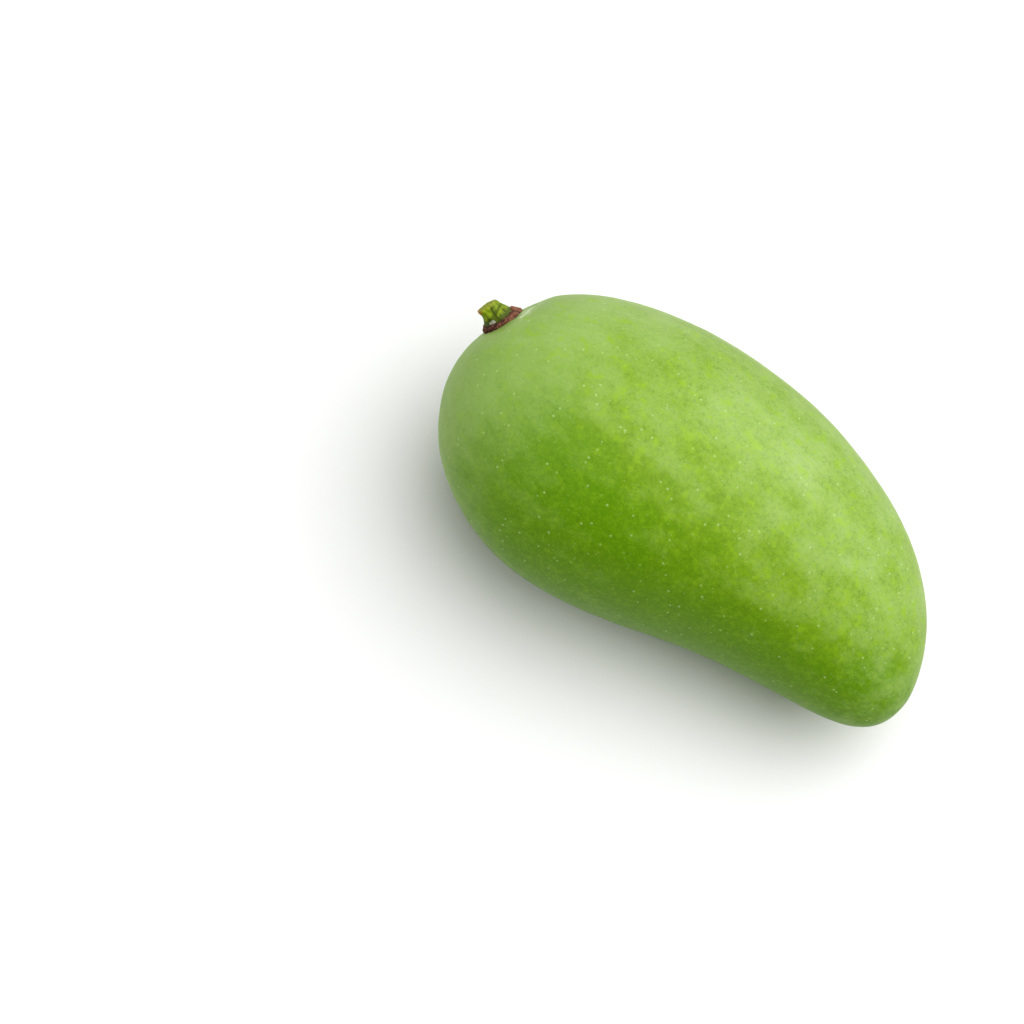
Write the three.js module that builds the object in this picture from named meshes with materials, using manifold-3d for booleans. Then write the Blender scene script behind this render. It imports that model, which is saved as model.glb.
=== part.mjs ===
// A green mango as picked, lying on its cheek: the fruit, the corky collar where the stem grew, and a
// short stub of the stem. Millimetres, +Z up. +X runs from the stem to the tip and +Y to the back of
// the fruit. The origin is the middle of the bounding box, on the surface that the fruit lies on.
import * as THREE from "three";
import { NURBSCurve } from "three/addons/curves/NURBSCurve.js";
import { mergeVertices } from "three/addons/utils/BufferGeometryUtils.js";
import Module from "manifold-3d";

const wasm = await Module();
wasm.setup();

// Driving dimensions of the fruit
const LENGTH = 132;
const WIDTH = 81;
const CHEEK_RATIO = 0.86; // thickness over width at the middle
const END_RATIO = 0.97; // the same at the stem and the tip, which are rounder
const FLAT_DEPTH = 0.5; // how far the cheek is pressed flat where it lies
const REST_ROLL = THREE.MathUtils.degToRad(1.4); // lets the weight come over the flat spot
const REST_PITCH = THREE.MathUtils.degToRad(4.5);

// Guide points of the fruit's outline from above, as shares of LENGTH along and of WIDTH across
const OUTLINE = [
  [-0.46, -0.09], // stem
  [-0.392, 0.143], // upper shoulder
  [-0.258, 0.298],
  [-0.081, 0.41], // back
  [0.142, 0.464],
  [0.39, 0.396],
  [0.557, 0.15],
  [0.566, -0.084], // tip
  [0.402, -0.179], // hollow behind the tip
  [0.207, -0.315],
  [0.05, -0.484], // belly
  [-0.113, -0.577],
  [-0.301, -0.543],
  [-0.434, -0.362], // lower shoulder
];

// The stem's place on the skin, and the hollow that it stands in
const STEM_STEP = 0.03;
const STEM_TURN = 1.47 * Math.PI;
const HOLLOW_DEPTH = 1.2;
const HOLLOW_REACH = 7;

// The corky collar
const COLLAR_RADIUS = 5.4;
const COLLAR_HEIGHT = 1.3;
const COLLAR_ROOT = 1.6;
const SOCKET_GAP = 0.3;

// The stub of the stem
const STUB_HEIGHT = 5.8;
const STUB_RADIUS = 2.45;
const STUB_FOOT_RADIUS = 3.7;
const STUB_OFFSET = -0.65; // towards the belly from the collar's middle
const STUB_LEAN = 0.26; // sideways for each unit of height, towards the belly
const STUB_RIDGES = 5;
const STUB_RIDGE_SHARE = 0.05;
const STUB_CUT_SLOPE = 0.14;

// Fineness of the meshes
const FRUIT_AROUND = 64;
const FRUIT_ALONG = 46;
const STEM_AROUND = 30;

// The closed outline, smooth to its second derivative. It starts at the stem and runs over the back.
function makeOutline() {
  const points = OUTLINE.map(([along, across]) => new THREE.Vector4(along * LENGTH, across * WIDTH, 0, 1));
  const degree = 3;
  const controls = [points.at(-1), ...points, points[0], points[1]];
  const knots = Array.from({ length: controls.length + degree + 1 }, (_, k) => k);
  return new NURBSCurve(degree, knots, controls, degree, controls.length);
}

const outline = makeOutline();

// The fruit's skin: an oval spans the outline from back to belly at every step from stem to tip.
// step is 0 at the stem and 0.5 at the tip, and turn goes once round the oval.
function skinPoint(step, turn) {
  const back = outline.getPoint(step);
  const belly = outline.getPoint(1 - step);
  const middle = back.clone().add(belly).multiplyScalar(0.5);
  const half = back.clone().sub(belly).multiplyScalar(0.5);
  const roundness = Math.cos(2 * Math.PI * step) ** 4;
  const ratio = CHEEK_RATIO + (END_RATIO - CHEEK_RATIO) * roundness;
  const height = half.length() * ratio;
  const point = middle.addScaledVector(half, Math.cos(turn));
  point.z = -height * Math.sin(turn);
  return point;
}

// Where the stem grows: on the skin, a little off the end towards the upper cheek
const stemSeat = skinPoint(STEM_STEP, STEM_TURN);

// The frame at the stem: its origin is at the bottom of the hollow, +Y is along the stem, and +X
// points to the back.
function makeStemFrame() {
  const along = skinPoint(STEM_STEP + 0.004, STEM_TURN).sub(skinPoint(STEM_STEP - 0.004, STEM_TURN));
  const across = skinPoint(STEM_STEP, STEM_TURN + 0.2).sub(skinPoint(STEM_STEP, STEM_TURN - 0.2));
  const axis = new THREE.Vector3().crossVectors(along, across).normalize();
  const side = new THREE.Vector3().crossVectors(across, axis).normalize();
  const toBack = new THREE.Vector3().crossVectors(axis, side);
  const origin = stemSeat.clone().addScaledVector(axis, -HOLLOW_DEPTH);
  return new THREE.Matrix4().makeBasis(toBack, axis, side).setPosition(origin);
}

const stemFrame = makeStemFrame();

// Presses the skin in around the stem.
function sinkHollow(point) {
  const axis = new THREE.Vector3().setFromMatrixColumn(stemFrame, 1);
  const away = point.distanceTo(stemSeat) / HOLLOW_REACH;
  return point.addScaledVector(axis, -HOLLOW_DEPTH * Math.exp(-away * away));
}

// A closed solid that can be cut, from a geometry whose matching vertices are merged
function solidOf(geometry) {
  geometry.deleteAttribute("normal");
  geometry.deleteAttribute("uv");
  const merged = mergeVertices(geometry, 1e-3);
  return new wasm.Manifold(
    new wasm.Mesh({
      numProp: 3,
      vertProperties: merged.attributes.position.array,
      triVerts: new Uint32Array(merged.index.array),
    }),
  );
}

function geometryOf(solid) {
  const mesh = solid.getMesh();
  const geometry = new THREE.BufferGeometry();
  geometry.setAttribute("position", new THREE.BufferAttribute(mesh.vertProperties, 3));
  geometry.setIndex(new THREE.BufferAttribute(mesh.triVerts, 1));
  geometry.computeVertexNormals();
  return geometry;
}

// A round solid on the stem's axis, from pairs of radius and height, bottom first
function turned(profile) {
  const points = profile.map(([radius, height]) => new THREE.Vector2(radius, height));
  return new THREE.LatheGeometry(points, STEM_AROUND);
}

// The collar is a low dish: a raised rim round the stub's foot, with its root set in the fruit.
function makeCollar() {
  const floor = COLLAR_HEIGHT / 2;
  const rimInside = STUB_FOOT_RADIUS + SOCKET_GAP - STUB_OFFSET / 2;
  return turned([
    [0, -COLLAR_ROOT],
    [COLLAR_RADIUS - 0.7, -COLLAR_ROOT],
    [COLLAR_RADIUS - 0.2, -COLLAR_ROOT / 2],
    [COLLAR_RADIUS, COLLAR_HEIGHT * 0.3],
    [COLLAR_RADIUS - 0.15, COLLAR_HEIGHT * 0.8],
    [COLLAR_RADIUS - 0.5, COLLAR_HEIGHT],
    [rimInside, COLLAR_HEIGHT * 0.9],
    [rimInside - 0.2, floor],
    [0, floor],
  ]);
}

// The stub flares at its foot, swells at a knuckle half-way up, leans to the belly, and ends in a
// slanting cut with a sunken middle.
function makeStub() {
  const foot = COLLAR_HEIGHT / 2 + SOCKET_GAP;
  const top = STUB_HEIGHT;
  const stub = turned([
    [0, foot],
    [STUB_FOOT_RADIUS - 0.3, foot],
    [STUB_FOOT_RADIUS, foot + 0.4],
    [STUB_FOOT_RADIUS - 0.1, foot + 1],
    [STUB_RADIUS + 0.7, foot + 1.8],
    [STUB_RADIUS + 0.35, foot + 2.7],
    [STUB_RADIUS + 0.15, foot + 3.4],
    [STUB_RADIUS + 0.2, foot + 4],
    [STUB_RADIUS + 0.05, top - 0.25],
    [STUB_RADIUS - 0.25, top],
    [STUB_RADIUS * 0.6, top - 0.1],
    [0, top - 0.35],
  ]);
  const place = stub.attributes.position;
  for (let i = 0; i < place.count; i++) {
    const point = new THREE.Vector3().fromBufferAttribute(place, i);
    const rise = (point.y - foot) / (top - foot);
    const around = Math.atan2(point.z, point.x);
    const ridge = 1 + STUB_RIDGE_SHARE * Math.cos(STUB_RIDGES * around) * rise;
    point.x *= ridge;
    point.z *= ridge;
    point.y += rise * STUB_CUT_SLOPE * point.x;
    point.x += STUB_OFFSET - STUB_LEAN * (point.y - foot) * rise;
    place.setXYZ(i, point.x, point.y, point.z);
  }
  return stub;
}

// Cut out of the fruit, so that the collar's root stands in it with a small gap all round
function makeSocket() {
  const above = 4 * HOLLOW_DEPTH;
  return turned([
    [0, -COLLAR_ROOT - SOCKET_GAP],
    [COLLAR_RADIUS + SOCKET_GAP, -COLLAR_ROOT - SOCKET_GAP],
    [COLLAR_RADIUS + SOCKET_GAP, above],
    [0, above],
  ]);
}

// Turns the fruit from its own plane to how it lies, with the flat spot on the surface
function makeRest(fruit) {
  const turn = new THREE.Matrix4().makeRotationFromEuler(new THREE.Euler(REST_ROLL, REST_PITCH, 0));
  const lying = fruit.clone().applyMatrix4(turn);
  lying.computeBoundingBox();
  const drop = -lying.boundingBox.min.z - FLAT_DEPTH;
  return new THREE.Matrix4().makeTranslation(0, 0, drop).multiply(turn);
}

function makeSkin() {
  const skin = new THREE.SphereGeometry(1, FRUIT_AROUND, FRUIT_ALONG);
  const { position, uv } = skin.attributes;
  for (let i = 0; i < position.count; i++) {
    const point = sinkHollow(skinPoint((1 - uv.getY(i)) / 2, uv.getX(i) * 2 * Math.PI));
    position.setXYZ(i, point.x, point.y, point.z);
  }
  return skin;
}

const skin = makeSkin();
const rest = makeRest(skin);

// The fruit, with the stem's socket cut in it and its cheek cut flat on the surface
function makeFruit() {
  const under = new THREE.BoxGeometry(2 * LENGTH, 2 * WIDTH, WIDTH).translate(0, 0, -WIDTH / 2);
  const socket = makeSocket().applyMatrix4(rest.clone().multiply(stemFrame));
  const fruit = solidOf(skin.clone().applyMatrix4(rest));
  return geometryOf(fruit.subtract(solidOf(socket)).subtract(solidOf(under)));
}

const green = new THREE.MeshStandardMaterial({ color: 0x8ab53f, roughness: 0.45, metalness: 0 });
const cork = new THREE.MeshStandardMaterial({ color: 0x6b3d2e, roughness: 0.9, metalness: 0 });
const olive = new THREE.MeshStandardMaterial({ color: 0x7d8a2a, roughness: 0.7, metalness: 0 });

function named(name, geometry, material) {
  const mesh = new THREE.Mesh(geometry, material);
  mesh.name = name;
  return mesh;
}

const stem = new THREE.Group();
stem.add(named("stem_collar", makeCollar(), cork));
stem.add(named("stem_stub", makeStub(), olive));
stem.applyMatrix4(rest.clone().multiply(stemFrame));

const mango = new THREE.Group();
mango.add(named("fruit", makeFruit(), green));
mango.add(stem);

// The origin goes to the middle of the box, on the surface.
const box = new THREE.Box3().setFromObject(mango, true);
const middle = box.getCenter(new THREE.Vector3());
mango.position.set(-middle.x, -middle.y, -box.min.z);

export default mango;
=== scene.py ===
"""A green mango lying on its cheek, with the corky collar and the stub of its stem, on a pale floor."""

import math

import bmesh
import bpy
from bpy.props import FloatProperty, FloatVectorProperty, IntProperty, PointerProperty
from mathutils import Matrix, Vector, noise


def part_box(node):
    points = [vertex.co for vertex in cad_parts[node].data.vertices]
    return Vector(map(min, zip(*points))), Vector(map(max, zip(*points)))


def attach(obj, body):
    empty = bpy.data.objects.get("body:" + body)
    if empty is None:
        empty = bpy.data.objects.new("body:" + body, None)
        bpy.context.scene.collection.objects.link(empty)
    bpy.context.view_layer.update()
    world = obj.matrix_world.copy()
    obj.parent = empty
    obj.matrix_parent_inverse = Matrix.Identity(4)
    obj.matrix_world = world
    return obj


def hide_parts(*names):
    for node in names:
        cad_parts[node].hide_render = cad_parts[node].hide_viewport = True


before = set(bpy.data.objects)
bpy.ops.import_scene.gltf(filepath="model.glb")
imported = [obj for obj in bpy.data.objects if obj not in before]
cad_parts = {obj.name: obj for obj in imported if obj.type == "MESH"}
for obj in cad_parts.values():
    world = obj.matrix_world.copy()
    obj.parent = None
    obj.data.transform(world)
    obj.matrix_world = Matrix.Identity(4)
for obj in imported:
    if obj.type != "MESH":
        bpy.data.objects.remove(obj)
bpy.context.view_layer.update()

bl_info = {
    "name": "Green Mango",
    "version": (1, 0, 0),
    "blender": (4, 5, 0),
    "location": "View3D > Sidebar > Mango",
    "description": "Makes a green mango with its stem and a pale studio round it",
    "category": "Add Mesh",
}

MM = 0.001

# Guide points of the fruit's outline from above, as shares of its length along and its width across
OUTLINE = [
    (-0.46, -0.09),  # stem
    (-0.392, 0.143),  # upper shoulder
    (-0.258, 0.298),
    (-0.081, 0.41),  # back
    (0.142, 0.464),
    (0.39, 0.396),
    (0.557, 0.15),
    (0.566, -0.084),  # tip
    (0.402, -0.179),  # hollow behind the tip
    (0.207, -0.315),
    (0.05, -0.484),  # belly
    (-0.113, -0.577),
    (-0.301, -0.543),
    (-0.434, -0.362),  # lower shoulder
]

# Half the way between the points of the skin that give the stem's direction
STEP_SPAN = 0.004
TURN_SPAN = 0.2

# Sizes of the skin's low swells and ripples
SWELL_SIZE = 24 * MM
SMALL_SWELL_SIZE = 11 * MM
RIPPLE_SIZE = 4.5 * MM

# Low forms of the skin round the stem: a ring of folds, a slack shoulder and a dip
RING_GAP = 2.4 * MM  # from the collar's edge
RING_WIDTH = 2.6 * MM
RING_HEIGHT = 0.28 * MM
SHOULDER_AWAY = 9 * MM
SHOULDER_WIDTH = 3.2 * MM
SHOULDER_TURN = 0.7
SHOULDER_DEPTH = 0.7 * MM
DIP_REACH = 8.5 * MM

# The creases beside the collar, in a frame of their own, and the wax on them
CREASE_PLACE = (6.2 * MM, -5.2 * MM, 0)
CREASE_TURN = math.radians(50)
CREASE_RADII = (4.0 * MM, 1.8 * MM)
CREASE_WAVE = 1.4 * MM
CREASE_SKEW = 0.12
CREASE_HEIGHT = 0.14 * MM
CREASE_WAX_MIDDLE = (-0.3 * MM, 0.2 * MM, 0)
CREASE_WAX_RADII = (8.0 * MM, 3.0 * MM, 5.0 * MM)

# Sizes of the skin's patterns, coarse to fine
CLOUD_SIZE = 15 * MM
PATCH_SIZE = 5 * MM
SMEAR_SIZE = 4.5 * MM
SMEAR_TURN = math.radians(10)
SMEAR_STRETCH = (2.6, 1, 1)
RUB_SIZE = 2.6 * MM
MOTTLE_SIZE = 1.3 * MM
FLECK_SIZE = 1.1 * MM
STREAK_SIZE = 0.8 * MM
GRAIN_SIZE = 0.45 * MM

# Spacing and largest radius of the skin's spots
PORES = (2.7 * MM, 0.42 * MM)
SMALL_PORES = (1.6 * MM, 0.25 * MM)
DARK_SPECKS = (1.5 * MM, 0.22 * MM)

# Sizes of the patterns of the cork and of the stub's bark
CRUST_SIZE = 0.7 * MM
LUMP_SIZE = 1.9 * MM
FURROW_SIZE = 0.8 * MM

# The dark groove across the stub and the drop of sap, in the stem's frame
GROOVE_SLOPE = 2.4
GROOVE_START = 8.4 * MM
GROOVE_SQUARE = 0.38  # from a distance along X to one square to the groove
GROOVE_WIDTH = 0.42 * MM
SAP_MIDDLE = (-2.6 * MM, -2.9 * MM, 1.65 * MM)
SAP_RADII = (1.3 * MM, 1.6 * MM, 0.75 * MM)

# Where the stub's other marks and the painted shade at its foot begin and are full: heights, and for the
# corner a place across
GROOVE_END = (4.8 * MM, 3.9 * MM)
FOOT_SHADE = (3.3 * MM, 1.9 * MM)
CUT_SHADE = (4.9 * MM, 5.7 * MM)
DRY_SHADE = (4.5 * MM, 5.3 * MM)
DRY_CORNER = (-2.5 * MM, -3.5 * MM)

# Fineness of the turned pieces
CURVE_STEPS = 6
COLLAR_SIDES = 160
STUB_SIDES = 128

COLLAR_ROOT = 1.6 * MM  # how deep the collar stands in the fruit
STUB_RIDGES = 5
FINE_RIDGES = 13

# Widths and place of each light
KEY_SIZE = (1.6, 1.6)
KEY_PLACE = (0.22, 0.42, 1.12)
GLOSS_SIZE = (1.1, 0.35)
GLOSS_PLACE = (0.06, 1.14, 0.68)
SIDE_SIZE = (1.2, 1.2)
SIDE_PLACE = (-0.85, -0.65, 0.5)

CAMERA_AIM = (-33.4 * MM, -25.3 * MM, 0)
SENSOR_WIDTH = 36  # in millimetres, as Blender takes it
FLOOR_REACH = 4  # from its middle to its edge
PAPER_SIZE = 0.4


def size_property(name, description, default, **limits):
    """A length in metres, given in millimetres."""
    return FloatProperty(
        name=name, description=description, default=default * MM, unit="LENGTH", precision=4, **limits
    )


def colour_property(name, description, default):
    return FloatVectorProperty(
        name=name, description=description, default=default, subtype="COLOR", min=0.0, max=1.0
    )


def angle_property(name, description, degrees):
    return FloatProperty(
        name=name, description=description, default=math.radians(degrees), subtype="ANGLE"
    )


def power_property(name, description, default):
    return FloatProperty(name=name, description=description, default=default, unit="POWER")


class FruitSettings(bpy.types.PropertyGroup):
    """Sizes and colours of the fruit"""

    length: size_property("Length", "From the stem end to the tip", 132)
    width: size_property("Width", "From the back to the belly", 81)
    cheek_ratio: FloatProperty(
        name="Cheek Ratio", description="Thickness over width at the middle", default=0.86
    )
    end_ratio: FloatProperty(
        name="End Ratio", description="Thickness over width at the stem and the tip", default=0.97
    )
    roll: angle_property("Roll", "Turn about its length, as its weight holds it", 1.4)
    pitch: angle_property("Pitch", "Dip of the tip, as its weight holds it", 4.5)
    grid: IntProperty(name="Grid", description="Faces along a quarter of the girth", default=110, min=8)
    swell: size_property("Swell", "Height of the skin's broad unevenness", 0.22)
    ripple: size_property("Ripple", "Height of the skin's fine unevenness", 0.05)
    skin_green: colour_property("Green", "The skin under the bloom", (0.218, 0.362, 0.020))
    # Painted shade: a darker green mixed in near the floor
    skin_shade_near_floor: colour_property("Under Green", "The skin near the floor", (0.095, 0.215, 0.001))
    # The deeper green is partly the skin's own and partly painted shade on the belly and the tip
    skin_deep_and_shade: colour_property("Deep Green", "The skin of the belly and the tip", (0.122, 0.270, 0.001))
    # The bloom is partly the wax's own colour and partly a painted sheen, pale and bluish like the gloss
    # light's highlight
    bloom_and_sheen: colour_property("Bloom", "The thin wax that lies on the skin", (0.368, 0.504, 0.190))
    bloom_stem: colour_property("Bloom by the Stem", "The duller wax near the stem", (0.262, 0.412, 0.092))
    fresh: colour_property("Fresh Green", "The bright rubbed patches and mottles", (0.290, 0.475, 0.020))
    creases: colour_property("Creases", "The wax on the creases by the stem", (0.620, 0.720, 0.460))
    dots: colour_property("Dots", "The pores", (0.470, 0.620, 0.270))
    specks: colour_property("Specks", "The small dark marks", (0.080, 0.190, 0.004))
    roughness: FloatProperty(
        name="Roughness", description="Dullness of the wax", default=0.39, min=0, max=1
    )


class StemSettings(bpy.types.PropertyGroup):
    """Sizes and colours of the stem"""

    step: FloatProperty(
        name="Step", description="Place of the stem from the end, as a share of the outline", default=0.03
    )
    turn: angle_property("Turn", "Place of the stem round the end", 264.6)
    hollow_depth: size_property("Hollow Depth", "Depth of the hollow that the stem stands in", 1.2)
    hollow_reach: size_property("Hollow Reach", "Reach of the hollow round the stem", 7)
    collar_radius: size_property("Collar Radius", "Radius of the corky collar", 5.4)
    collar_height: size_property("Collar Height", "Height of the corky collar", 1.3)
    nod: angle_property("Nod", "How far the stem and its collar tip towards the upper cheek", 6)
    stub_height: size_property("Stub Height", "Height of the stub from the bottom of the hollow", 5.4)
    stub_radius: size_property("Stub Radius", "Radius of the stub near its top", 2.45)
    foot_radius: size_property("Foot Radius", "Radius of the stub's foot", 3.7)
    stub_offset: size_property("Stub Offset", "The stub's place from the collar's middle", -0.65)
    lean: FloatProperty(name="Lean", description="Sideways for each unit of height", default=0.23)
    cut_slope: FloatProperty(name="Cut Slope", description="Slope of the cut end", default=0.07)
    cork_dark: colour_property("Dark Cork", "The collar's hollows", (0.070, 0.026, 0.022))
    cork_light: colour_property("Light Cork", "The collar's edges", (0.340, 0.155, 0.090))
    stem_green: colour_property("Stem Green", "The stub's side", (0.225, 0.310, 0.010))
    # Dark furrows and groove, and the painted shade round the foot
    stem_dark_and_foot_shade: colour_property("Stem Dark", "The stub's furrows and foot", (0.060, 0.085, 0.006))
    stem_brown: colour_property("Stem Brown", "The dry corner of the cut", (0.380, 0.170, 0.012))
    stem_cut: colour_property("Stem Cut", "The cut end", (0.320, 0.350, 0.035))
    sap: colour_property("Sap", "The dried drop of sap", (0.430, 0.440, 0.330))


class StudioSettings(bpy.types.PropertyGroup):
    """The camera, the lights and the floor"""

    azimuth: angle_property("Azimuth", "Direction of view round the fruit", 50)
    elevation: angle_property("Elevation", "Height of the camera over the horizon", 75)
    distance: size_property("Distance", "From the camera to what it aims at", 707.5)
    lens: FloatProperty(
        name="Lens", description="Focal length in millimetres", default=100, unit="CAMERA"
    )
    key_power: power_property("Key Light", "Power of the main light", 19)
    gloss_power: power_property("Gloss Light", "Power of the strip that draws the sheen", 14.5)
    side_power: power_property("Side Light", "Power of the light that softens the shadow", 3.2)
    air: FloatProperty(name="Air", description="Strength of the light from all sides", default=0.19)
    floor: colour_property("Floor", "The floor's colour", (0.88, 0.88, 0.88))


# Form of the fruit


def spline_weights(t):
    """Shares of four guide points in a smooth curve, t of the way from the second to the third."""
    return (
        (1 - t) ** 3 / 6,
        (3 * t**3 - 6 * t**2 + 4) / 6,
        (-3 * t**3 + 3 * t**2 + 3 * t + 1) / 6,
        t**3 / 6,
    )


def outline_point(fruit, share):
    """A point of the closed outline. share is 0 at the stem, 0.5 at the tip and 1 at the stem again."""
    place = share * len(OUTLINE)
    first = math.floor(place)
    along = across = 0.0
    for k, weight in enumerate(spline_weights(place - first)):
        guide = OUTLINE[(first + k - 1) % len(OUTLINE)]
        along += weight * guide[0]
        across += weight * guide[1]
    return Vector((along * fruit.length, across * fruit.width, 0))


def skin_point(fruit, step, turn):
    """A point of the skin. step is 0 at the stem and 0.5 at the tip, and turn goes once round the fruit."""
    back = outline_point(fruit, step)
    belly = outline_point(fruit, 1 - step)
    half = (back - belly) / 2
    roundness = math.cos(2 * math.pi * step) ** 4
    ratio = fruit.cheek_ratio + (fruit.end_ratio - fruit.cheek_ratio) * roundness
    point = (back + belly) / 2 + half * math.cos(turn)
    point.z = -half.length * ratio * math.sin(turn)
    return point


def stem_seat(fruit, stem):
    return skin_point(fruit, stem.step, stem.turn)


def stem_axes(fruit, stem):
    """The stem's frame in the fruit's own: +Z along the stem, +X to the fruit's back."""
    ahead = skin_point(fruit, stem.step + STEP_SPAN, stem.turn)
    behind = skin_point(fruit, stem.step - STEP_SPAN, stem.turn)
    right = skin_point(fruit, stem.step, stem.turn + TURN_SPAN)
    left = skin_point(fruit, stem.step, stem.turn - TURN_SPAN)
    across = right - left
    axis = (ahead - behind).cross(across).normalized()
    across = (across - axis * across.dot(axis)).normalized()
    origin = stem_seat(fruit, stem) - axis * stem.hollow_depth
    axes = Matrix((across, axis.cross(across), axis)).transposed().to_4x4()
    return Matrix.Translation(origin) @ axes


def resting_place(fruit, points):
    """The turn and shift that lay the fruit's points down where the frame's fruit lies."""
    turn = Matrix.Rotation(fruit.roll, 4, "X") @ Matrix.Rotation(fruit.pitch, 4, "Y")
    turned = [turn @ point for point in points]
    low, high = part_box("fruit")
    shift = Vector((low.x - min(p.x for p in turned), low.y - min(p.y for p in turned), 0))
    shift.z = high.z - max(p.z for p in turned)
    return Matrix.Translation(shift) @ turn


def lying_stem(scene):
    """The stem's frame as the fruit's operator laid it down, tipped towards the upper cheek."""
    values = list(scene["mango_rest"])
    rest = Matrix([values[row * 4 : row * 4 + 4] for row in range(4)])
    stem = scene.mango_stem
    return rest @ stem_axes(scene.mango_fruit, stem) @ Matrix.Rotation(stem.nod, 4, "X")


def crease_axes(fruit, stem):
    """The frame of the waxy creases by the collar: +X runs along them."""
    place = Matrix.Translation(CREASE_PLACE) @ Matrix.Rotation(CREASE_TURN, 4, "Z")
    return stem_axes(fruit, stem) @ place


def sphere_grid(cuts):
    """A ball of even square faces, with no poles."""
    ball = bmesh.new()
    bmesh.ops.create_cube(ball, size=2)
    bmesh.ops.subdivide_edges(ball, edges=ball.edges, cuts=cuts, use_grid_fill=True)
    for vertex in ball.verts:
        vertex.co.normalize()
    return ball


def sunk(point, seat, axis, stem):
    """The point after the hollow round the stem is pressed in."""
    away = (point - seat).length / stem.hollow_reach
    return point - axis * stem.hollow_depth * math.exp(-away * away)


def skin_relief(point, fruit):
    """Height of the skin's unevenness."""
    swell = noise.noise(point / SWELL_SIZE)
    swell += 0.5 * noise.noise(point / SMALL_SWELL_SIZE + Vector((7, 0, 0)))
    ripple = noise.noise(point / RIPPLE_SIZE)
    return fruit.swell * swell + fruit.ripple * ripple


def stem_relief(point, from_stem, from_creases, stem):
    """Height of the folds, the shoulder, the dip and the creases round the stem.

    from_stem and from_creases are the inverses of the frames that they are named for."""
    local = from_stem @ point
    away = math.hypot(local.x, local.y)
    around = math.atan2(local.y, local.x)
    ring = math.exp(-(((away - stem.collar_radius - RING_GAP) / RING_WIDTH) ** 2))
    folds = noise.noise(Vector((math.cos(around), math.sin(around), away / (9 * MM))) * 2.3)
    aside = around / SHOULDER_TURN
    shoulder = math.exp(-(aside**2) - ((away - SHOULDER_AWAY) / SHOULDER_WIDTH) ** 2)
    dip = math.tan(stem.nod) * max(0.0, -local.y) * math.exp(-((away / DIP_REACH) ** 2))
    relief = RING_HEIGHT * ring * folds - SHOULDER_DEPTH * shoulder - dip
    return relief + crease_relief(from_creases @ point)


def crease_relief(local):
    """Height of the waxy creases, which run side by side and die away."""
    strength = math.exp(-((local.x / CREASE_RADII[0]) ** 2) - (local.y / CREASE_RADII[1]) ** 2)
    phase = 2 * math.pi * (local.y + CREASE_SKEW * local.x) / CREASE_WAVE
    return CREASE_HEIGHT * strength * math.cos(phase)


def finish_object(name, shape, material, slot, *nodes):
    """Makes the object, rests it on the frame's one body and hides the nodes that it stands for."""
    mesh = bpy.data.meshes.new(name)
    shape.to_mesh(mesh)
    shape.free()
    mesh.shade_smooth()
    mesh.materials.append(material)
    piece = bpy.data.objects.new(name, mesh)
    bpy.context.scene.collection.objects.link(piece)
    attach(piece, "root")
    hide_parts(*nodes)


# Shader maths


class Signal:
    """A socket of a material, for use in expressions on numbers."""

    def __init__(self, maker, socket):
        self.maker = maker
        self.socket = socket

    def maths(self, operation, *values, clamp=False):
        settings = {"operation": operation, "use_clamp": clamp}
        return self.maker.node("ShaderNodeMath", settings, *values)

    def __add__(self, other):
        return self.maths("ADD", self, other)

    def __sub__(self, other):
        return self.maths("SUBTRACT", self, other)

    def __mul__(self, other):
        return self.maths("MULTIPLY", self, other)

    def __truediv__(self, other):
        return self.maths("DIVIDE", self, other)

    def __rsub__(self, other):
        return self.maths("SUBTRACT", other, self)

    __radd__ = __add__
    __rmul__ = __mul__

    def held(self):
        """Held between 0 and 1."""
        return self.maths("ADD", self, 0, clamp=True)


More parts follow.
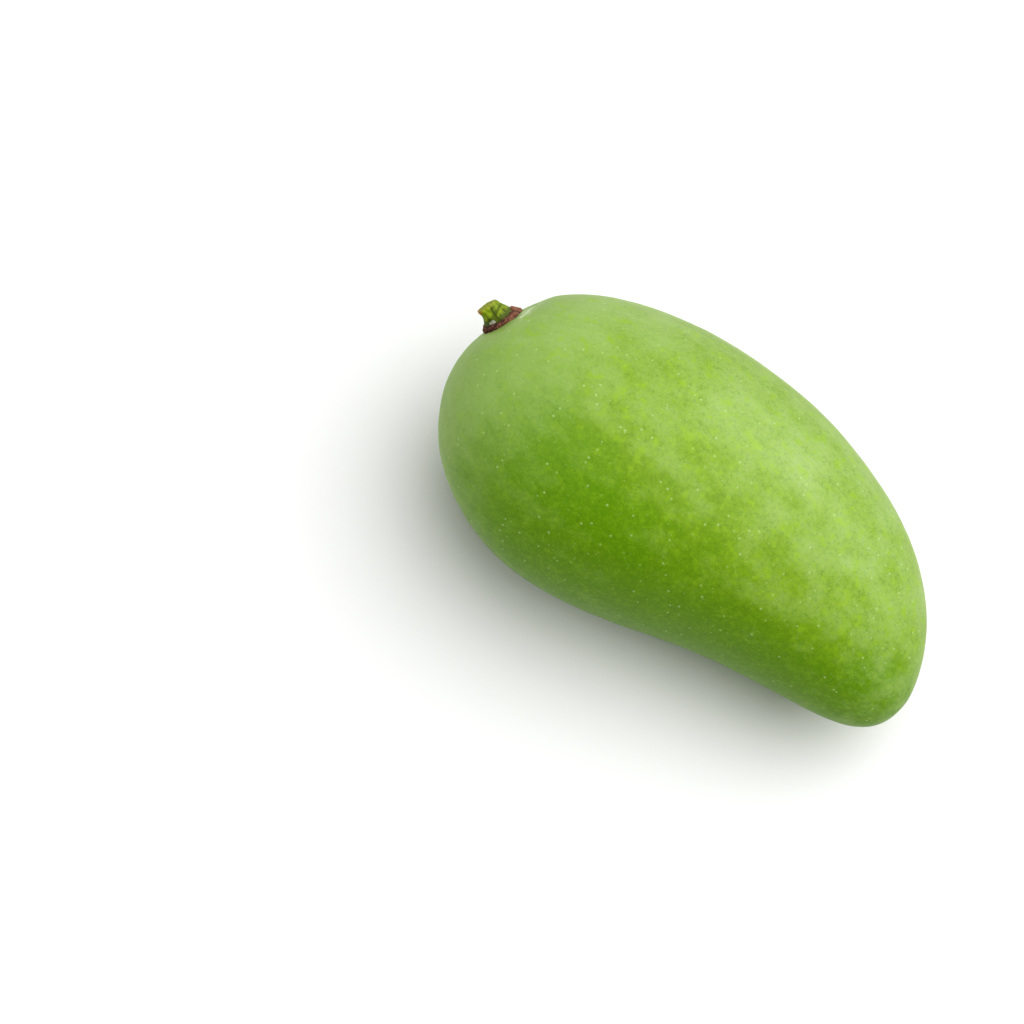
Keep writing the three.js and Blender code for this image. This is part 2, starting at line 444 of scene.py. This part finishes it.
class Finish:
    """A material that is made from expressions."""

    def __init__(self, name):
        self.material = bpy.data.materials.new(name)
        self.material.use_nodes = True
        self.tree = self.material.node_tree
        self.shader = self.tree.nodes["Principled BSDF"]
        self.place = self.node("ShaderNodeTexCoord", {}, output="Object")

    def node(self, kind, settings, *values, output=None, **named):
        """Adds a node and returns its output. values go to its sockets in order, and named ones by name."""
        made = self.tree.nodes.new(kind)
        for key, value in settings.items():
            setattr(made, key, value)
        shown = [socket for socket in made.inputs if socket.enabled]
        for socket, value in zip(shown, values):
            self.feed(socket, value)
        for key, value in named.items():
            self.feed(next(socket for socket in shown if socket.name == key.replace("_", " ")), value)
        outputs = [socket for socket in made.outputs if socket.enabled]
        if output:
            outputs = [socket for socket in outputs if socket.name == output]
        return Signal(self, outputs[0])

    def feed(self, socket, value):
        if isinstance(value, Signal):
            self.tree.links.new(value.socket, socket)
        elif socket.type == "RGBA":
            socket.default_value = (*value, 1.0)
        else:
            socket.default_value = value

    def set(self, **values):
        """Feeds the shader's own sockets."""
        for key, value in values.items():
            self.feed(self.shader.inputs[key.replace("_", " ")], value)

    def mix(self, first, second, share):
        """A colour between two."""
        settings = {"data_type": "RGBA", "blend_type": "MIX"}
        return self.node("ShaderNodeMix", settings, Factor=share, A=first, B=second)

    def moved(self, shift=(0, 0, 0), turn=(0, 0, 0), scale=(1, 1, 1), kind="POINT"):
        """Object coordinates, shifted, turned and scaled."""
        settings = {"vector_type": kind}
        return self.node(
            "ShaderNodeMapping", settings, self.place, Location=shift, Rotation=turn, Scale=scale
        )

    def local(self, axes):
        """Object coordinates, seen from a frame of its own."""
        shifted = self.node("ShaderNodeMapping", {}, self.place, Location=-axes.translation)
        turn = axes.to_3x3().inverted().to_euler()
        return self.node("ShaderNodeMapping", {}, shifted, Rotation=turn)

    def stretched(self, vector, scale):
        return self.node("ShaderNodeMapping", {}, vector, Scale=scale)

    def oval(self, vector, middle, radii):
        """1 in the middle of an oval and 0 past its edge."""
        shifted = self.node("ShaderNodeVectorMath", {"operation": "SUBTRACT"}, vector, middle)
        shares = self.node("ShaderNodeVectorMath", {"operation": "DIVIDE"}, shifted, radii)
        length = self.node("ShaderNodeVectorMath", {"operation": "LENGTH"}, shares, output="Value")
        return self.ramp(length, 1.0, 0.3)

    def parts(self, vector):
        """The three numbers of a vector."""
        return [self.node("ShaderNodeSeparateXYZ", {}, vector, output=letter) for letter in "XYZ"]

    def cloud(self, size, detail=2.0, place=None, roughness=0.5):
        """Soft noise from 0 to 1, with blotches of a size in metres."""
        return self.node(
            "ShaderNodeTexNoise",
            {"noise_dimensions": "3D"},
            Vector=place or self.place,
            Scale=1 / size,
            Detail=detail,
            Roughness=roughness,
        )

    def ramp(self, value, low, high):
        """0 where value is at low, 1 where it is at high, and a smooth step between."""
        return self.node(
            "ShaderNodeMapRange",
            {"interpolation_type": "SMOOTHSTEP"},
            Value=value,
            From_Min=low,
            From_Max=high,
        )

    def spots(self, spacing, radius, place=None):
        """1 in round spots and 0 between. radius is the largest that they can have."""
        distance = self.node(
            "ShaderNodeTexVoronoi",
            {"feature": "F1"},
            Vector=place or self.place,
            Scale=1 / spacing,
            output="Distance",
        )
        share = radius / spacing
        return self.ramp(distance, share, share * 0.25)

    def distance(self, point):
        """Distance to a point, in metres."""
        settings = {"operation": "DISTANCE"}
        return self.node("ShaderNodeVectorMath", settings, self.place, tuple(point), output="Value")

    def bump(self, height, depth):
        """A normal that is bent by a height from 0 to 1, for a depth in metres."""
        normal = self.node("ShaderNodeBump", {}, Strength=1.0, Distance=depth, Height=height)
        self.set(Normal=normal)


def skin_finish(fruit, stem, rest):
    """Green skin under a thin wax in smears, rubbed bright in patches, with pores, specks and creases; a
    painted sheen along the back, and painted shade on the belly, the tip and near the floor.
    """
    skin = Finish("mango_skin")
    x, y, z = skin.parts(skin.place)
    seat = rest @ stem_seat(fruit, stem)
    from_stem = skin.distance(seat)
    along = (x - seat.x) / fruit.length
    across = y / fruit.width

    # Patterns that swing about 0
    smear = skin.moved(turn=(0, 0, SMEAR_TURN), scale=SMEAR_STRETCH, kind="TEXTURE")
    clouds = skin.cloud(CLOUD_SIZE, 2) - 0.5
    smears = skin.cloud(SMEAR_SIZE, 3, smear) - 0.5
    patches = skin.cloud(PATCH_SIZE, 3, skin.moved(shift=(0.3, 0, 0))) - 0.5
    mottle = skin.cloud(MOTTLE_SIZE, 3, skin.moved(shift=(0.1, 0.2, 0.4))) - 0.5
    flecks = skin.cloud(FLECK_SIZE, 2, skin.moved(shift=(0, 0.2, 0))) - 0.5
    grain = skin.cloud(GRAIN_SIZE, 1) - 0.5

    # Parts of the fruit, from 0 to 1
    # back paints a sheen: more pale wax towards the back, where the gloss light's highlight lies
    back = skin.ramp(across + 0.25 * clouds, -0.12, 0.42)
    by_stem = skin.ramp(from_stem + 14 * MM * clouds, 62 * MM, 8 * MM)
    # low marks the belly side, where the deeper green is partly painted shade
    low = skin.ramp(across + 0.35 * clouds + 0.1 * smears, 0.04, -0.28)
    tip = skin.ramp(along - 0.7 * across + 0.2 * clouds, 0.70, 0.94)
    # end: thicker wax on the stem end, partly the bloom's own and partly painted light from the side
    end = skin.ramp(along + 0.3 * clouds, 0.28, 0.05)
    # under paints shade on the skin near the floor
    under = skin.ramp(z + 10 * MM * clouds, 30 * MM, 12 * MM)
    rubbed = skin.ramp(skin.cloud(RUB_SIZE, 2, skin.moved(shift=(0.4, 0.3, 0))), 0.52, 0.74)

    # The wax, with a painted sheen along the back and partly painted light on the stem end
    wax_and_painted_light = 0.10 + 0.34 * back + 0.18 * by_stem + 0.60 * end - 0.12 * low - 0.15 * tip
    spread = 0.50 + 0.12 * back + 0.2 * by_stem - 0.25 * low
    wax = (wax_and_painted_light + spread * (1.3 * clouds + 1.2 * smears + 1.3 * patches + 0.8 * flecks)).held()

    # The skin's green, the wax over it, and the mottle over both
    # Deeper green on the belly and the tip, partly the skin's own and partly painted shade
    green = skin.mix(fruit.skin_green, fruit.skin_deep_and_shade, (low + tip).held() * 0.9)
    # Painted shade near the floor
    green = skin.mix(green, fruit.skin_shade_near_floor, under * 0.5)
    # Bloom over the green, which along the back is a painted sheen
    colour = skin.mix(green, fruit.bloom_and_sheen, wax)
    colour = skin.mix(colour, fruit.bloom_stem, by_stem * 0.6)
    calm = 1 - 0.7 * by_stem
    tone = calm * (1.3 * mottle + 1.4 * grain - 0.25 * smears - 0.2 * patches - 0.2 * clouds)
    colour = skin.mix(colour, fruit.specks, tone.held() * 0.75)
    colour = skin.mix(colour, fruit.fresh, (-1 * tone).held() * 0.75)
    colour = skin.mix(colour, fruit.fresh, (rubbed * (0.6 - 0.4 * low - 0.4 * tip)).held())

    # Pores and specks
    large = skin.spots(*PORES)
    small = skin.spots(*SMALL_PORES, skin.moved(shift=(0.05, 0.02, 0)))
    dark = skin.spots(*DARK_SPECKS, skin.moved(shift=(0.01, 0.07, 0), scale=(1, 1.7, 1)))
    colour = skin.mix(colour, fruit.specks, dark * calm * (0.5 + 0.4 * rubbed))
    colour = skin.mix(colour, fruit.dots, large * 0.6)
    colour = skin.mix(colour, fruit.dots, small * 0.3)

    # The waxy creases by the collar
    by_collar = skin.local(rest @ crease_axes(fruit, stem))
    streaks = skin.cloud(STREAK_SIZE, 3, skin.stretched(by_collar, (0.25, 1, 0.5)))
    creases = skin.oval(by_collar, CREASE_WAX_MIDDLE, CREASE_WAX_RADII)
    creases = (creases * (1.1 * skin.ramp(streaks, 0.36, 0.60) + flecks)).held()
    colour = skin.mix(colour, fruit.creases, creases * 0.95)

    skin.set(
        Base_Color=colour,
        Roughness=(fruit.roughness + 0.12 * wax).held(),
        Specular_IOR_Level=0.16,
        Subsurface_Weight=0.05,
        Subsurface_Radius=(0.6 * MM, 1.0 * MM, 0.3 * MM),
        Subsurface_Scale=1.0,
    )
    skin.bump(large * 0.7 + small * 0.3 + grain * 0.25 + creases * 2.0, 0.05 * MM)
    return skin.material


def cork_finish(stem, axes):
    """Dry cork, darkest in its hollows and redder to the back."""
    cork = Finish("collar_cork")
    across = cork.parts(cork.local(axes))[0]
    crust = cork.cloud(CRUST_SIZE, 5, roughness=0.65)
    lumps = cork.cloud(LUMP_SIZE, 2, cork.moved(shift=(0.02, 0, 0)))
    shade = 0.75 * crust + 0.35 * lumps + 0.13 * cork.ramp(across, -5 * MM, 5 * MM)
    cork.set(
        Base_Color=cork.mix(stem.cork_dark, stem.cork_light, cork.ramp(shade, 0.48, 0.80)),
        Roughness=(0.78 + 0.15 * crust).held(),
        Specular_IOR_Level=0.2,
    )
    cork.bump(crust + 0.6 * lumps, 0.4 * MM)
    return cork.material


def stub_finish(stem, axes):
    """Green stem with dark furrows and painted shade at its foot, dry at the cut, with a pale drop of dried
    sap.
    """
    bark = Finish("stub_bark")
    along_stem = bark.local(axes)
    across, depth, height = bark.parts(along_stem)
    furrows = bark.cloud(FURROW_SIZE, 4, bark.stretched(along_stem, (1.0, 1.0, 0.22)))
    colour = bark.mix(stem.stem_dark_and_foot_shade, stem.stem_green, bark.ramp(furrows, 0.34, 0.54))

    line = (across - GROOVE_SLOPE * height + GROOVE_START) * GROOVE_SQUARE + 0.5 * MM * (furrows - 0.5)
    groove = bark.ramp(line * line, GROOVE_WIDTH**2, 0.0) * bark.ramp(depth, 0.0, -1.0 * MM)
    groove = groove * bark.ramp(height, *GROOVE_END)
    colour = bark.mix(colour, stem.stem_dark_and_foot_shade, groove * 0.65)

    # Painted shade round the stub's foot, where the collar shades it
    foot = bark.ramp(height + 2.2 * MM * (furrows - 0.5), *FOOT_SHADE)
    colour = bark.mix(colour, stem.stem_dark_and_foot_shade, foot * 0.85)

    cut_height = height - stem.cut_slope * across + 0.6 * MM * bark.cloud(0.7 * MM)
    colour = bark.mix(colour, stem.stem_cut, bark.ramp(cut_height, *CUT_SHADE) * 0.7)
    corner = bark.ramp(across + 0.9 * MM * bark.cloud(0.9 * MM), *DRY_CORNER)
    corner = corner * bark.ramp(cut_height, *DRY_SHADE)
    colour = bark.mix(colour, stem.stem_brown, corner * 0.9)

    drop = bark.oval(along_stem, SAP_MIDDLE, SAP_RADII)
    sap = bark.ramp(drop + bark.cloud(0.5 * MM, 3) - 0.5, 0.35, 0.75)
    colour = bark.mix(colour, stem.sap, sap * 0.85)

    bark.set(Base_Color=colour, Roughness=(0.6 - 0.2 * sap).held(), Specular_IOR_Level=0.2)
    bark.bump(furrows + sap - 0.8 * groove, 0.2 * MM)
    return bark.material


def floor_finish(studio):
    floor = Finish("floor_paper")
    tone = floor.ramp(floor.cloud(PAPER_SIZE, 2), 0.2, 0.8)
    darker = tuple(0.985 * part for part in studio.floor)
    floor.set(Base_Color=floor.mix(darker, studio.floor, tone), Roughness=0.75, Specular_IOR_Level=0.2)
    return floor.material


# Turned pieces of the stem


def smooth_line(points):
    """Points of a smooth curve that starts at the first point and ends at the last."""
    guides = [points[0], points[0], *points, points[-1], points[-1]]
    line = []
    for first in range(len(guides) - 3):
        for k in range(CURVE_STEPS):
            weights = spline_weights(k / CURVE_STEPS)
            line.append(
                [sum(w * guides[first + n][axis] for n, w in enumerate(weights)) for axis in (0, 1)]
            )
    line.append(list(points[-1]))
    return line


def turned(profile, sides):
    """A closed shape turned round Z. Its profile of radii and heights starts and ends on the axis."""
    shape = bmesh.new()
    line = [shape.verts.new((radius, 0, height)) for radius, height in profile]
    edges = [shape.edges.new(pair) for pair in zip(line, line[1:])]
    bmesh.ops.spin(
        shape,
        geom=line + edges,
        cent=(0, 0, 0),
        axis=(0, 0, 1),
        angle=2 * math.pi,
        steps=sides,
        use_merge=True,
    )
    bmesh.ops.remove_doubles(shape, verts=shape.verts, dist=1e-6)
    bmesh.ops.recalc_face_normals(shape, faces=shape.faces)
    return shape


class MANGO_OT_fruit(bpy.types.Operator):
    """Makes the fruit, with its hollow, its folds and its waxy skin"""

    bl_idname = "mango.fruit"
    bl_label = "Make Fruit"

    def execute(self, context):
        fruit = context.scene.mango_fruit
        stem = context.scene.mango_stem
        axes = stem_axes(fruit, stem)
        seat = stem_seat(fruit, stem)
        axis = axes.to_3x3().col[2]
        shape = sphere_grid(fruit.grid)
        for vertex in shape.verts:
            x, y, z = vertex.co
            step = math.acos(max(-1.0, min(1.0, -x))) / (2 * math.pi)
            vertex.co = sunk(skin_point(fruit, step, math.atan2(-z, y)), seat, axis, stem)
        rest = resting_place(fruit, [vertex.co for vertex in shape.verts])
        near = [
            edge for edge in shape.edges if (edge.verts[0].co - seat).length < 3 * stem.collar_radius
        ]
        bmesh.ops.subdivide_edges(shape, edges=near, cuts=1, use_grid_fill=True, smooth=1.0)
        bmesh.ops.recalc_face_normals(shape, faces=shape.faces)
        shape.normal_update()
        from_stem = axes.inverted()
        from_creases = crease_axes(fruit, stem).inverted()
        for vertex in shape.verts:
            relief = skin_relief(vertex.co, fruit)
            relief += stem_relief(vertex.co, from_stem, from_creases, stem)
            vertex.co = rest @ (vertex.co + vertex.normal * relief)
            vertex.co.z = max(vertex.co.z, 0.0)
        finish_object("fruit_skin", shape, skin_finish(fruit, stem, rest), "skin", "fruit")
        context.scene["mango_rest"] = [value for row in rest for value in row]
        return {"FINISHED"}


class MANGO_OT_collar(bpy.types.Operator):
    """Makes the corky collar round the stub's foot"""

    bl_idname = "mango.collar"
    bl_label = "Make Collar"

    def execute(self, context):
        stem = context.scene.mango_stem
        axes = lying_stem(context.scene)
        radius = stem.collar_radius
        height = stem.collar_height
        profile = [
            (0, -COLLAR_ROOT),
            (radius - 0.9 * MM, -COLLAR_ROOT),
            (radius - 0.1 * MM, -0.6 * MM),
            (radius + 0.1 * MM, 0.3 * MM),
            (radius - 0.1 * MM, height * 0.85),
            (radius - 0.6 * MM, height * 1.02),
            (stem.foot_radius + 0.5 * MM, height * 0.92),
            (stem.foot_radius - 0.6 * MM, height * 0.7),
            (0, height * 0.6),
        ]
        shape = turned(smooth_line(profile), COLLAR_SIDES)
        for vertex in shape.verts:
            place = vertex.co.copy()
            around = place.xy.normalized() if place.xy.length > 0 else Vector((1, 0))
            ragged = noise.noise(Vector((around.x * 2.2, around.y * 2.2, 3.0)))
            ragged += 0.5 * noise.noise(Vector((around.x * 6, around.y * 6, place.z / (2 * MM))))
            crust = noise.noise(place / (0.8 * MM))
            share = place.xy.length / radius
            narrower = 0.45 * MM * max(0.0, around.x) ** 3
            vertex.co.xy += around * share**2 * (0.55 * MM * ragged + 0.12 * MM * crust - narrower)
            if place.z > 0:
                lift = max(0.0, around.x) ** 2 * max(-0.7, min(0.9, 5.1 * (0.82 - share)))
                vertex.co.z += place.z * lift + 0.22 * MM * crust + 0.3 * MM * ragged * share
        shape.transform(axes)
        finish_object("cork_collar", shape, cork_finish(stem, axes), "cork", "stem_collar")
        return {"FINISHED"}


class MANGO_OT_stub(bpy.types.Operator):
    """Makes the cut stub of the stem"""

    bl_idname = "mango.stub"
    bl_label = "Make Stub"

    def execute(self, context):
        stem = context.scene.mango_stem
        axes = lying_stem(context.scene)
        foot = stem.collar_height / 2
        top = stem.stub_height
        radius = stem.stub_radius
        profile = [
            (0, foot),
            (stem.foot_radius - 0.2 * MM, foot),
            (stem.foot_radius + 0.1 * MM, foot + 0.5 * MM),
            (stem.foot_radius - 0.1 * MM, foot + 1.1 * MM),
            (radius + 0.7 * MM, foot + 1.9 * MM),
            (radius + 0.3 * MM, foot + 2.8 * MM),
            (radius + 0.1 * MM, foot + 3.4 * MM),
            (radius + 0.3 * MM, foot + 4.1 * MM),
            (radius + 0.1 * MM, top - 0.2 * MM),
            (radius, top),
            (radius - 0.3 * MM, top + 0.05 * MM),
            (radius * 0.7, top - 0.12 * MM),
            (radius * 0.35, top - 0.3 * MM),
            (radius * 0.2, top - 0.1 * MM),
            (0, top - 0.1 * MM),
        ]
        shape = turned(smooth_line(profile), STUB_SIDES)
        for vertex in shape.verts:
            place = vertex.co.copy()
            rise = (place.z - foot) / (top - foot)
            around = math.atan2(place.y, place.x)
            ridge = 1 + 0.05 * math.cos(STUB_RIDGES * around) * rise
            ridge += 0.02 * math.cos(FINE_RIDGES * around + 4 * rise)
            ridge += 0.03 * noise.noise(place / (1.4 * MM))
            place.x *= ridge * (1 + 0.1 * max(0.0, math.cos(around)) * math.sin(math.pi * rise))
            place.y *= ridge
            place.z += rise * stem.cut_slope * place.x
            place.x += stem.stub_offset - stem.lean * (place.z - foot) * rise
            vertex.co = place
        shape.transform(axes)
        finish_object("stem_end", shape, stub_finish(stem, axes), "stem", "stem_stub")
        return {"FINISHED"}


class MANGO_OT_studio(bpy.types.Operator):
    """Makes the floor, the lights and the camera"""

    bl_idname = "mango.studio"
    bl_label = "Make Studio"

    def execute(self, context):
        scene = context.scene
        studio = scene.mango_studio
        self.make_floor(scene, studio)
        self.make_lights(scene, studio)
        self.make_camera(scene, studio)
        scene.view_settings.view_transform = "Standard"
        scene.view_settings.look = "Medium High Contrast"
        return {"FINISHED"}

    def make_floor(self, scene, studio):
        shape = bmesh.new()
        bmesh.ops.create_grid(shape, x_segments=1, y_segments=1, size=FLOOR_REACH)
        mesh = bpy.data.meshes.new("floor")
        shape.to_mesh(mesh)
        shape.free()
        mesh.materials.append(floor_finish(studio))
        floor = bpy.data.objects.new("floor", mesh)
        scene.collection.objects.link(floor)

    def make_lights(self, scene, studio):
        world = bpy.data.worlds.new("studio_air")
        world.use_nodes = True
        air = world.node_tree.nodes["Background"]
        air.inputs["Color"].default_value = (1.0, 1.0, 1.0, 1.0)
        air.inputs["Strength"].default_value = studio.air
        scene.world = world
        self.make_light(scene, "key_light", studio.key_power, KEY_SIZE, KEY_PLACE)
        gloss = self.make_light(scene, "gloss_light", studio.gloss_power, GLOSS_SIZE, GLOSS_PLACE)
        gloss.visible_diffuse = False
        self.make_light(scene, "side_light", studio.side_power, SIDE_SIZE, SIDE_PLACE)

    def make_light(self, scene, name, power, size, place):
        lamp = bpy.data.lights.new(name, "AREA")
        lamp.shape = "ELLIPSE"
        lamp.size, lamp.size_y = size
        lamp.energy = power
        light = bpy.data.objects.new(name, lamp)
        light.location = place
        light.visible_camera = False
        light.rotation_euler = Vector(place).to_track_quat("Z", "Y").to_euler()
        scene.collection.objects.link(light)
        return light

    def make_camera(self, scene, studio):
        back = Vector(
            (
                math.sin(studio.azimuth) * math.cos(studio.elevation),
                -math.cos(studio.azimuth) * math.cos(studio.elevation),
                math.sin(studio.elevation),
            )
        )
        lens = bpy.data.cameras.new("camera")
        lens.lens = studio.lens
        lens.sensor_width = SENSOR_WIDTH
        camera = bpy.data.objects.new("camera", lens)
        camera.location = Vector(CAMERA_AIM) + back * studio.distance
        camera.rotation_euler = back.to_track_quat("Z", "Y").to_euler()
        scene.collection.objects.link(camera)
        scene.camera = camera


class MANGO_PT_panel(bpy.types.Panel):
    """Lists the mango's sizes and pieces"""

    bl_idname = "MANGO_PT_panel"
    bl_label = "Mango"
    bl_space_type = "VIEW_3D"
    bl_region_type = "UI"
    bl_category = "Mango"

    def draw(self, context):
        layout = self.layout
        for group in ("mango_fruit", "mango_stem", "mango_studio"):
            settings = getattr(context.scene, group)
            box = layout.box()
            for name in settings.__annotations__:
                box.prop(settings, name)
        for operator in (MANGO_OT_fruit, MANGO_OT_collar, MANGO_OT_stub, MANGO_OT_studio):
            layout.operator(operator.bl_idname)


CLASSES = (
    FruitSettings,
    StemSettings,
    StudioSettings,
    MANGO_OT_fruit,
    MANGO_OT_collar,
    MANGO_OT_stub,
    MANGO_OT_studio,
    MANGO_PT_panel,
)


def register():
    for kind in CLASSES:
        bpy.utils.register_class(kind)
    bpy.types.Scene.mango_fruit = PointerProperty(type=FruitSettings)
    bpy.types.Scene.mango_stem = PointerProperty(type=StemSettings)
    bpy.types.Scene.mango_studio = PointerProperty(type=StudioSettings)


def unregister():
    del bpy.types.Scene.mango_studio
    del bpy.types.Scene.mango_stem
    del bpy.types.Scene.mango_fruit
    for kind in reversed(CLASSES):
        bpy.utils.unregister_class(kind)


def main():
    register()
    bpy.ops.mango.fruit()
    bpy.ops.mango.collar()
    bpy.ops.mango.stub()
    bpy.ops.mango.studio()


if __name__ == "__main__":
    main()
